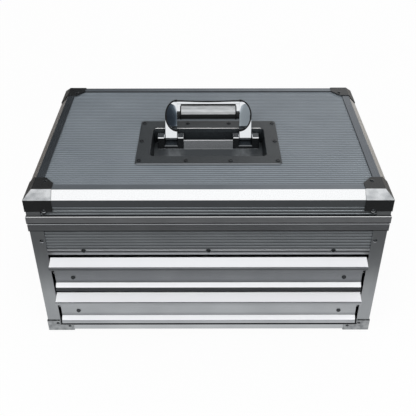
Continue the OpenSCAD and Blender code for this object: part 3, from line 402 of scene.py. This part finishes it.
# each shader socket comes with its noise, as cell size in millimetres and detail, and with the ramp's stops or the
# bump's depth in millimetres and strength; turned lays a tone where the normal's z goes from one value to another.
# The real grain of the steels and of the film is under half a millimetre: it is drawn coarser so that it shows
plainLooks = {
    # chromium over polished zinc: mirror-like, with only a trace of haze
    "bright chrome": {"base": ("#e4e7ea", 0.07, 1.0), "Roughness": ((12, 3), [(0.35, 0.05), (0.8, 0.13)])},
    # moulded and sprayed silver: a soft metallic sheen, faintly hazy along its length, painted shade below
    "silver lacquered grip": {"base": ("#b2b4b6", 0.34, 0.2), "turned": (0.62, 0.12, 0.3),
                              "Base Color": (((14, 3, 3), 3), [(0.3, "#afb2b4"), (0.7, "#c6c8ca")]),
                              "Roughness": (((14, 3, 3), 3), [(0.3, 0.28), (0.8, 0.42)])},
    # bright with a slight grain
    "zinc plated steel": {"base": ("#b9bcbf", 0.3, 1.0), "Base Color": ((6, 3), [(0.3, "#b0b3b6"), (0.7, "#c0c3c6")]),
                          "Roughness": ((6, 3), [(0.3, 0.28), (0.7, 0.38)]), "Normal": ((0.8, 2), (0.01, 0.3))},
    # blackened in a hot oxide bath: dark and oily, with a painted highlight where it faces down to the pale ground
    "black oxide steel": {"base": ("#47494b", 0.28, 1.0), "turned": (-0.1, -0.3, "#b4b7ba"),
                          "Base Color": ((0.8, 3), [(0.3, "#3d3f41"), (0.7, "#505254")]),
                          "Roughness": ((0.8, 3), [(0.3, 0.2), (0.7, 0.36)])},
    # sheet steel, sprayed and baked: fine pebbled surface
    "grey powder coat": {"base": ("#8b8e91", 0.5, 0.0, 1.5),
                         "Base Color": ((70, 2), [(0.3, "#85888b"), (0.7, "#909396")]),
                         "Roughness": ((0.9, 3), [(0.3, 0.42), (0.7, 0.6)]), "Normal": ((0.9, 3), (0.08, 0.6))},
    # faced with black phenolic film: faint pores along the grain
    "film faced plywood": {"base": ("#2a2a2b", 0.5, 0.0, 1.5),
                           "Base Color": (((8, 0.6, 0.6), 3), [(0.3, "#252526"), (0.7, "#343435")]),
                           "Normal": (((8, 0.6, 0.6), 3), (0.05, 0.5))}}


def plainMaterial(name):
    look = plainLooks[name]
    material, tree, shader, place = startMaterial(name, *look["base"])
    for socket in [key for key in look if key not in ("base", "turned")]:
        cells, given = look[socket]
        noise = grain(tree, place, *cells)
        if socket == "Normal":
            source = addNode(tree, "Bump", {"Distance": given[0] * mm, "Strength": given[1], "Height": noise})[0]
        else:
            source = addNode(tree, "ValToRGB", {"stops": given, "Fac": noise})[0]
        if socket == "Base Color" and "turned" in look:
            low, high, tone = look["turned"]
            source = layered(tree, source, (fade(tree, place["Normal"], "Z", low, high), tone))
        feed(tree, shader, {socket: source})
    return material


# a board's ribbed face is one side of its own box, low or high along one axis
def sheetFor(name, axis, side, tones):
    reach = abs(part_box(name)[side][axis] - (0, caseY, 0)[axis])
    slopeLightShade, joint = (boards["stripSlopeLightShade"], lidTop) if "strip" in name else (boards["slopeLightShade"], None)
    return ribbedAbs("ribbed ABS " + name.replace("_", " "), boards[tones], "XYZ"[axis], reach, slopeLightShade, joint)


sheets = {"lid_panel": (2, 1, "top"), "front_panel": (1, 0, "front"), "rear_panel": (1, 1, "front"),
          "left_panel": (0, 0, "front"), "right_panel": (0, 1, "front"), "lid_strip_front": (1, 0, "strip"),
          "lid_strip_rear": (1, 1, "strip"), "lid_strip_sides": (0, 1, "strip")}
# heights of the painted shade along joints and edges, in millimetres
shadeLineH = {"underSeam": 0.1, "overSeam": 1.9, "caseFoot": 0.8, "lidTop": 0.45, "railTop": 1.1, "flange": 0.3}
seam, lidTop = (corner.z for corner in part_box("lid_band_front"))
caseFoot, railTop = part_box("case_band_front")[0].z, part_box("bottom_rail_front")[1].z
seamShade = ("Z", seam - shadeLineH["underSeam"] * mm, seam + shadeLineH["overSeam"] * mm)
bands = {"case": {"tones": profiles["caseBand"], "bevelTone": profiles["caseBevel"],
                  "shadeLines": [seamShade, ("Z", caseFoot - mm, caseFoot + shadeLineH["caseFoot"] * mm)]},
         "lid": {"tones": profiles["lidBand"], "bevelTone": profiles["lidBevel"],
                 "shadeLines": [seamShade, ("Z", lidTop - shadeLineH["lidTop"] * mm, lidTop + mm)]}}
frames = {"bevelTone": profiles["frameBevel"], "metal": profiles["frameMetal"], "upright": profiles["skirt"]}
flangeX = ("X", 0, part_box("lid_frame_right")[0].x + shadeLineH["flange"] * mm)
rails = {"tones": profiles["foot"], "under": profiles["downShade"]}
railTopShade = ("Z", railTop - shadeLineH["railTop"] * mm, railTop + mm)
chrome, silver = plainMaterial("bright chrome"), plainMaterial("silver lacquered grip")
finishes = {
    plainMaterial("film faced plywood"): ["base_panel", "compartment_floor"],
    railProfile(): ["front_rail"],
    anodised("pale anodised rail x", 0, shadeLines=[railTopShade], **rails): ["bottom_rail_front", "bottom_rail_rear"],
    anodised("pale anodised rail y", 1, **rails): ["bottom_rail_sides"],
    anodised("grey anodised post", 2, profiles["post"]): [
        "post_front_left", "post_front_right", "rear_posts", "lid_corner_angles"],
    anodised("lid profile x", 0, profiles["frame"], **frames): ["lid_frame_front", "lid_frame_rear"],
    # the side profiles take darker tones than the front and rear ones, as painted shade, the left one darkest
    anodised("lid profile left", 1, profiles["leftFrameShaded"], 0.25, **frames): ["lid_frame_left"],
    anodised("lid profile right", 1, profiles["rightFrameShaded"], 0.28, shadeLines=[flangeX], **frames): ["lid_frame_right"],
    satinFront("upper"): ["upper_drawer_front"],
    satinFront("lower"): ["lower_drawer_front"],
    enamelledCap(): ["lid_caps"],
    greyPaint(): ["bottom_caps"],
    mouldedPlastic(): ["handle_dish"],
    enamelledBracket(): ["handle_brackets"],
    wrinklePaint(): ["handle_bridge"],
    chrome: ["handle_frame"],
    silver: ["handle_grip"],
    plainMaterial("grey powder coat"): ["upper_drawer_tray", "lower_drawer_tray"],
    plainMaterial("black oxide steel"): [
        "case_rivets", "front_rail_screws", "lid_rivets", "dish_screws", "upper_drawer_screws",
        "lower_drawer_screws"],
    plainMaterial("zinc plated steel"): [
        "drawer_rails", "lower_hinge_leaf", "upper_hinge_leaf", "hinge_pin", "latch_base_left", "latch_base_right",
        "latch_pins", "latch_left", "latch_right", "latch_keepers", "handle_pins", "upper_drawer_runners",
        "lower_drawer_runners"]}
for half, settings in bands.items():
    for along, sides in enumerate((("front", "rear"), ("left", "right"))):
        material = anodised("anodised {} band {}".format(half, "xy"[along]), along, **settings)
        finishes[material] = ["{}_band_{}".format(half, side) for side in sides]
for name, settings in sheets.items():
    finishes[sheetFor(name, *settings)] = [name]
for material, names in finishes.items():
    for name in names:
        nodes[name].data.materials.clear()
        nodes[name].data.materials.append(material)
unset = set(nodes) - {name for names in finishes.values() for name in names}
print("materials set, left over:", sorted(unset))


sharpAngle = math.radians(35)  # an edge that turns more than this stays sharp, and is rounded


# rounds sharp edges, by a width in millimetres
def addRounding(holder, width, segments):
    rounding = holder.modifiers.new("rounding", "BEVEL")
    rounding.width, rounding.segments = width * mm, segments
    rounding.limit_method, rounding.angle_limit = "ANGLE", sharpAngle
    return rounding


# a mesh piece on a body, smooth between its sharp edges; place turns and moves it, the bevel is in millimetres
def makePiece(name, made, material, body, bevel, place):
    made.transform(place)
    bmesh.ops.recalc_face_normals(made, faces=made.faces)
    mesh = bpy.data.meshes.new(name)
    made.to_mesh(mesh)
    made.free()
    mesh.shade_smooth()
    mesh.set_sharp_from_angle(angle=sharpAngle)
    mesh.materials.append(material)
    piece = bpy.data.objects.new(name, mesh)
    scene.collection.objects.link(piece)
    addRounding(piece, bevel, 3).harden_normals = True
    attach(piece, body)
    return piece


# joins the points of a solid's faces, so that its edges are known
def weld(node):
    node.modifiers.new("weld", "WELD").merge_threshold = 0.002 * mm


# shades curved faces smooth and keeps edges sharper than the angle in degrees
def smoothTree(angle):
    tree = bpy.data.node_groups.new("smooth curves", "GeometryNodeTree")
    for way in ("INPUT", "OUTPUT"):
        tree.interface.new_socket("Geometry", in_out=way, socket_type="NodeSocketGeometry")
    start, end = tree.nodes.new("NodeGroupInput"), tree.nodes.new("NodeGroupOutput")
    faces, edges = tree.nodes.new("GeometryNodeSetShadeSmooth"), tree.nodes.new("GeometryNodeSetShadeSmooth")
    turn, sharp = tree.nodes.new("GeometryNodeInputMeshEdgeAngle"), tree.nodes.new("FunctionNodeCompare")
    edges.domain, sharp.data_type, sharp.operation = "EDGE", "FLOAT", "GREATER_THAN"
    sharp.inputs[1].default_value = math.radians(angle)
    edges.inputs["Shade Smooth"].default_value = False
    for source, target in ((start.outputs[0], faces.inputs[0]), (faces.outputs[0], edges.inputs[0]),
                           (edges.outputs[0], end.inputs[0]), (turn.outputs[0], sharp.inputs[0]),
                           (sharp.outputs[0], edges.inputs["Selection"])):
        tree.links.new(source, target)
    return tree


# a prism from an outline in millimetres, drawn in the plane across one axis and stretched along it
def prism(outline, low, high, axis="x"):
    order = {"x": lambda a, b, c: (c, a, b), "y": lambda a, b, c: (a, c, b)}[axis]
    made = bmesh.new()
    ends = [[made.verts.new([v * mm for v in order(a, b, end)]) for a, b in outline] for end in (low, high)]
    made.faces.new(ends[0])
    made.faces.new(ends[1])
    for i in range(len(outline)):
        j = (i + 1) % len(outline)
        made.faces.new([ends[0][i], ends[0][j], ends[1][j], ends[1][i]])
    return made


# points in millimetres along an ellipse, between two angles in degrees
def arc(middle, radii, start, end, steps):
    turns = [math.radians(start + (end - start) * i / steps) for i in range(steps + 1)]
    return [(middle[0] + radii[0] * math.cos(t), middle[1] + radii[1] * math.sin(t)) for t in turns]


# in millimetres and degrees, with the cheeks' slopes and ends as shares of their swell; heights are along the
# handle's legs, from its pivot
handleLook = {"pivot": (0, 6.35, 227), "lean": 25, "in": 43, "out": 60, "legT": 6.6, "cheekMid": 30.2, "cheekH": 44,
              "rim": 2.0, "fore": 5.5, "aft": 2, "edges": (2.6, 1.0), "front": (0.52, 0.36, 0.75),
              "back": (0, 0.3, 0), "ends": (1, 0.3), "rimY": (-3.6, 0.2), "lap": 1, "blockFoot": 1.5, "blockShy": 0.4,
              "gripUp": 34.6, "gripR": 9.5, "gripLen": 75, "shellT": 0.4, "coreLap": 0.5, "coreTop": 0.5,
              "tubeFoot": -2.5, "collarW": 1.3, "spineFoot": 46.2, "spineTop": 51.4, "spineEdge": 1.8,
              "backShadeDrop": 2.4, "backY": -1.6, "dip": 0.9, "lacquer": ("black lacquered zinc", "#0b0c0d", 0.3),
              "rubber": ("moulded black rubber", "#0a0a0b", 0.6), "worn": ("worn black rubber", "#1d1e1f", 0.5)}
handleBevels = {"ChromeLeg": 0.7, "ChromeCheek": 1.2, "BlackCheekBack": 0.4, "BlackCheekRim": 0.5,
                "ChromeEndBlock": 0.6, "chromeSpine": 0.5, "blackSpineBack": 0.8, "gripTube": 0.8, "gripCore": 0.5,
                "GripShadeCollar": 0.3}


# half of a cushion: its front falls from the flat inner side outwards by slope shares, less so towards the top
def cheekDome(side, inset, edge, crown, slope, steps=48, rings=20):
    look = handleLook
    wide, high = look["out"] - look["in"] - inset, look["cheekH"] / 2 - inset
    made = bmesh.new()
    rows = []
    for ring in range(rings + 1):
        share = math.sin(ring / rings * math.pi / 2)
        row = []
        for x, z in arc((0, 0), (share, share), -90, 90, steps):
            fall = 1 - slope[0] * x * (1 - slope[2] * max(z, 0)) - slope[1] * max(x, 0) ** 1.6
            depth = edge + (crown - edge) * (fall - look["ends"][z > 0] * z ** 8)
            row.append((side * (look["in"] + wide * x) * mm, -depth * mm, (look["cheekMid"] + high * z) * mm))
        rows.append([made.verts.new(row[0])] * (steps + 1) if ring == 0 else [made.verts.new(p) for p in row])
    rows.append([made.verts.new((v.co.x, 0, v.co.z)) for v in rows[-1]])
    for near, far in zip(rows, rows[1:]):
        for i in range(steps):  # the innermost row is one point, so its faces have three corners
            made.faces.new(list(dict.fromkeys([near[i], near[i + 1], far[i + 1], far[i]])))
    made.faces.new([row[0] for row in rows] + [row[-1] for row in reversed(rows[1:])])
    made.faces.new(rows[-1])
    return made


# a bar across the handle that dips in its middle
def spine(low, high, front, rear, steps=24):
    reach = handleLook["in"] + handleLook["lap"]
    bar, rings = bmesh.new(), []
    for i in range(steps + 1):
        x = reach * (2 * i / steps - 1)
        sag = handleLook["dip"] * math.cos(math.pi * x / (2 * reach)) ** 2 if abs(x) < handleLook["in"] else 0
        rings.append([bar.verts.new((x * mm, y * mm, z * mm)) for y, z in (
            (front, low), (front, high - sag), (rear, high - sag), (rear, low))])
    for near, far in zip(rings, rings[1:]):
        for k in range(4):
            bar.faces.new([near[k], near[(k + 1) % 4], far[(k + 1) % 4], far[k]])
    bar.faces.new(rings[0])
    bar.faces.new(rings[-1])
    return bar


def mirrored(made, side):
    made.transform(Matrix.Diagonal((side, 1, 1, 1)))
    return made


def buildHandle():
    look = handleLook
    half, outer, inner, mid = look["legT"] / 2, look["out"], look["in"], look["cheekMid"]
    radius, up, gripEnd = look["gripR"], look["gripUp"], look["gripLen"] / 2
    spineTop = look["spineTop"] - look["spineEdge"]
    lacquer, rubber, worn = (satinBlack(*look[key])[0] for key in ("lacquer", "rubber", "worn"))
    place = Matrix.Translation([v * mm for v in look["pivot"]]) @ Matrix.Rotation(math.radians(-look["lean"]), 4, "X")
    made, grips = [], []

    def keep(group, word, kind, shape, material):
        group.append(makePiece(word + kind, shape, material, "handle", handleBevels[kind], place))

    for side, word in ((-1, "left"), (1, "right")):
        leg = prism(arc((0, 0), (half, half), -180, 0, 16) + [(half, mid), (-half, mid)], inner, outer)
        keep(made, word, "ChromeLeg", mirrored(leg, side), chrome)
        cheek = cheekDome(side, look["rim"], look["edges"][0], half + look["fore"], look["front"])
        keep(made, word, "ChromeCheek", cheek, chrome)
        back = cheekDome(side, 0, look["edges"][1], half + look["aft"], look["back"])
        back.transform(Matrix.Diagonal((1, -1, 1, 1)))
        keep(made, word, "BlackCheekBack", back, lacquer)
        outline = arc((inner, mid), (outer - inner, look["cheekH"] / 2), -90, 90, 40)
        keep(made, word, "BlackCheekRim", mirrored(prism(outline, *look["rimY"], "y"), side), rubber)
        low, high, end = up + look["blockFoot"], spineTop - look["blockShy"], inner + look["lap"]
        block = prism([(gripEnd, low), (end, low), (end, high), (gripEnd, high)], look["blockShy"] - half,
                      half - look["lap"], "y")
        keep(made, word, "ChromeEndBlock", mirrored(block, side), chrome)
    keep(made, "", "chromeSpine", spine(look["spineFoot"], spineTop, -half, 0), chrome)
    # the black back reaches below the spine, a dark sheet as painted shade in the gap behind the grip
    back = spine(look["spineFoot"] - look["backShadeDrop"], look["spineTop"], look["backY"], half)
    keep(made, "", "blackSpineBack", back, rubber)
    for piece in made:
        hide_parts("handle_frame")

    def barrel(size, low, high):
        return prism(arc((0, up), (size, size), 0, 360, 64)[:-1], low, high)

    tube = barrel(radius, -gripEnd, gripEnd)
    core = barrel(radius - look["shellT"], -inner - look["coreLap"], inner + look["coreLap"])
    for part, height, above in ((core, look["coreTop"], True), (tube, look["tubeFoot"], False)):
        bmesh.ops.bisect_plane(part, geom=part.verts[:] + part.edges[:] + part.faces[:],
                               plane_co=(0, 0, (up + height) * mm), plane_no=(0, 0, 1), clear_outer=above,
                               clear_inner=not above)
        bmesh.ops.holes_fill(part, edges=[e for e in part.edges if e.is_boundary])
    keep(grips, "", "gripTube", tube, silver)
    keep(grips, "", "gripCore", core, worn)
    for side, word in ((-1, "left"), (1, "right")):  # a black collar at each end of the tube, also standing in for the shadow gap there
        ends = sorted((side * gripEnd, side * (gripEnd + look["collarW"])))
        keep(grips, word, "GripShadeCollar", barrel(radius + look["shellT"], *ends), rubber)
    for piece in grips:
        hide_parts("handle_grip")
    print("handle made:", len(made) + len(grips), "pieces")


buildHandle()

# which solids have rounded edges, by the width in millimetres
rounded = {0.8: ["handle_brackets"], 0.5: ["handle_bridge"],
           0.4: ["post_front_left", "post_front_right", "rear_posts", "latch_base_left", "latch_base_right",
                 "latch_left", "latch_right", "latch_keepers"],
           0.3: ["front_rail", "upper_drawer_front", "lower_drawer_front", "bottom_rail_front", "bottom_rail_rear",
                 "bottom_rail_sides", "lid_caps", "bottom_caps", "handle_dish"]}
for width, names in rounded.items():
    for name in names:
        weld(nodes[name])
        addRounding(nodes[name], width, 1 if name == "handle_brackets" else 2)  # the brackets are chamfered
curved = ["case_rivets", "front_rail_screws", "lid_rivets", "dish_screws", "upper_drawer_screws",
          "lower_drawer_screws", "lower_hinge_leaf", "upper_hinge_leaf", "hinge_pin", "latch_pins", "handle_pins"]
smooth = smoothTree(32)
for name in curved:
    weld(nodes[name])
    nodes[name].modifiers.new("smooth curves", "NODES").node_group = smooth
print("edges rounded:", sum(map(len, rounded.values())), "curves smoothed:", len(curved))

# the camera, in millimetres and degrees
view = {"lens": 55.58, "sensor": 36, "place": (-0.18, -777.3, 675.79), "pitch": 36.07, "yaw": -0.03, "roll": -0.1}
camera = bpy.data.objects.new("camera", bpy.data.cameras.new("camera"))
scene.collection.objects.link(camera)
camera.data.lens = view["lens"]
camera.data.sensor_width = view["sensor"]
camera.location = [v * mm for v in view["place"]]
aim = Matrix.Rotation(math.radians(-view["yaw"]), 3, "Z") @ Matrix.Rotation(math.radians(90 - view["pitch"]), 3, "X")
camera.rotation_euler = (aim @ Matrix.Rotation(math.radians(view["roll"]), 3, "Z")).to_euler()
scene.camera = camera
scene.view_settings.view_transform = "Standard"

studio = {"floor": "#f6f6f6", "floorRough": 0.8, "floorSize": 30, "fibreMm": 3, "fibreRelief": (0.02, 0.2),
          "ownLight": 0.94, "bounce": 0.45, "world": 0.55, "feltRough": 0.9}
# in metres: each lamp has its size, place, aim and radiance, and each felt its tone, corners and tones along x
softboxes = {"overheadSoftbox": ((2.2, 1.7), (0, -1.15, 1.3), (0, 0, 0.1), 1.78),
             "rearSoftbox": ((1.6, 1.0), (0, 1.9, 1.2), (0, 0.1, 0.15), 1.4)}
sideCorners = ((1.3, 0.3, 0.002), (0.65, -1.25, 0.002), (0.65, -1.25, 0.85), (1.3, 0.3, 2.1))
felts = {
    "frontFelt": ("#707070", ((-3, -0.262, 0.001), (3, -0.262, 0.001), (3, -2.5, 0.001), (-3, -2.5, 0.001)), ()),
    "ceilingFelt": ("#606366", ((-3, -0.5, 2.2), (3, -0.5, 2.2), (3, 1.1, 2.2), (-3, 1.1, 2.2)), ()),
    "rearFloorFelt": ("#232325", ((-3, 0.4, 0.001), (3, 0.4, 0.001), (3, 2.0, 0.001), (-3, 2.0, 0.001)), (
        (-1, "#625d58"), (-0.5, "#625d58"), (-0.3, "#232325"), (0.3, "#232325"), (0.5, "#98948e"), (1, "#98948e"))),
    "rearFelt": ("#232325", ((-4, 1.9, 0.1), (4, 1.9, 0.1), (4, 2.3, 2.2), (-4, 2.3, 2.2)), (
        (-1.5, "#9a9da0"), (-1.1, "#0c0c0d"), (-0.66, "#0c0c0d"), (-0.6, "#55595c"), (-0.45, "#5c6063"),
        (0.5, "#ffffff"))),
    "leftFelt": ("#232325", [(-x, y, z) for x, y, z in sideCorners], (
        (-1.3, "#090a0b"), (-1, "#1b1e22"), (-0.8, "#343b43"), (-0.72, "#566069"), (-0.65, "#c8d0d8"))),
    "rightFelt": ("#232325", sideCorners, (
        (0.65, "#c4ccd2"), (0.75, "#959ca0"), (1, "#838a8f"), (1.15, "#b3bcc2"), (1.3, "#78828a")))}


# 1 for the rays that show the background: straight from the camera, or by way of metal or glass
def backgroundRays(tree):
    rays = addNode(tree, "LightPath")
    direct = rays["Is Camera Ray"]
    for kind in ("Is Glossy Ray", "Is Transmission Ray"):
        direct = addNode(tree, "Math", {"operation": "MAXIMUM", 0: direct, 1: rays[kind]})[0]
    return direct


# matt white paper with faint fibres, drawn coarser than real ones so that they show. To those rays part of the
# floor's brightness is its own, so it is white and keeps the shadow; it bounces less light on to the object than
# white paper would
def paperFloor():
    material, tree, shader, place = startMaterial("pale paper floor", studio["floor"], studio["floorRough"])
    direct = backgroundRays(tree)
    own = addNode(tree, "Math", {"operation": "MULTIPLY", 0: direct, 1: studio["ownLight"]})[0]
    depth, strength = studio["fibreRelief"]
    feed(tree, shader, {
        "Base Color": addNode(tree, "Mix", {"data_type": "RGBA", 0: direct, 6: linear(studio["bounce"]),
                                            7: studio["floor"]})[2],
        "Normal": addNode(tree, "Bump", {"Distance": depth * mm, "Strength": strength,
                                         "Height": grain(tree, place, studio["fibreMm"], 2)})[0]})
    blend = addNode(tree, "MixShader", {0: own, 1: shader.outputs[0], 2: addNode(tree, "Emission")[0]})
    tree.links.new(blend[0], tree.nodes["Material Output"].inputs["Surface"])
    return material


bpy.ops.mesh.primitive_plane_add(size=studio["floorSize"])
floor = bpy.context.object
floor.name = "studioFloor"
floor.data.materials.append(paperFloor())

world = bpy.data.worlds.new("studio")
world.use_nodes = True
scene.world = world
backdrop = world.node_tree.nodes["Background"]
backdrop.inputs["Color"].default_value = linear(1.0)
level = addNode(world.node_tree, "Mix", {"data_type": "FLOAT", 0: backgroundRays(world.node_tree),
                                         2: studio["world"], 3: 1.0})[0]
world.node_tree.links.new(level, backdrop.inputs["Strength"])


# metal doesn't mirror the lamp itself but the white room, which is as bright as paper
def softbox(name, size, place, target, radiance):
    lamp = bpy.data.lights.new(name, "AREA")
    lamp.shape = "RECTANGLE"
    lamp.size, lamp.size_y = size
    lamp.energy = radiance * math.pi * size[0] * size[1]
    holder = bpy.data.objects.new(name, lamp)
    scene.collection.objects.link(holder)
    holder.location = place
    holder.rotation_euler = (Vector(target) - Vector(place)).to_track_quat("-Z", "Y").to_euler()
    holder.visible_glossy = False


# matt felt on a stand that only mirrored rays see, as the unlit parts of a studio; a felt with tones along x
# glows with them instead, as a card that shows only in reflections
def felt(name, tone, corners, tones):
    material, tree, _, place = startMaterial(name, tone, studio["feltRough"])
    if tones:
        low, high = tones[0][0], tones[-1][0]
        stops = [((x - low) / (high - low), colour) for x, colour in tones]
        shown = addNode(tree, "ValToRGB", {"stops": stops, "Fac": fade(tree, place["Object"], "X", low, high)})[0]
        tree.links.new(addNode(tree, "Emission", {"Color": shown})[0],
                       tree.nodes["Material Output"].inputs["Surface"])
    mesh = bpy.data.meshes.new(name)
    mesh.from_pydata(corners, [], [tuple(range(len(corners)))])
    mesh.materials.append(material)
    cloth = bpy.data.objects.new(name, mesh)
    scene.collection.objects.link(cloth)
    cloth.visible_camera = cloth.visible_diffuse = cloth.visible_shadow = cloth.visible_transmission = False


for name, settings in softboxes.items():
    softbox(name, *settings)
for name, settings in felts.items():
    felt(name, *settings)
print("studio set")
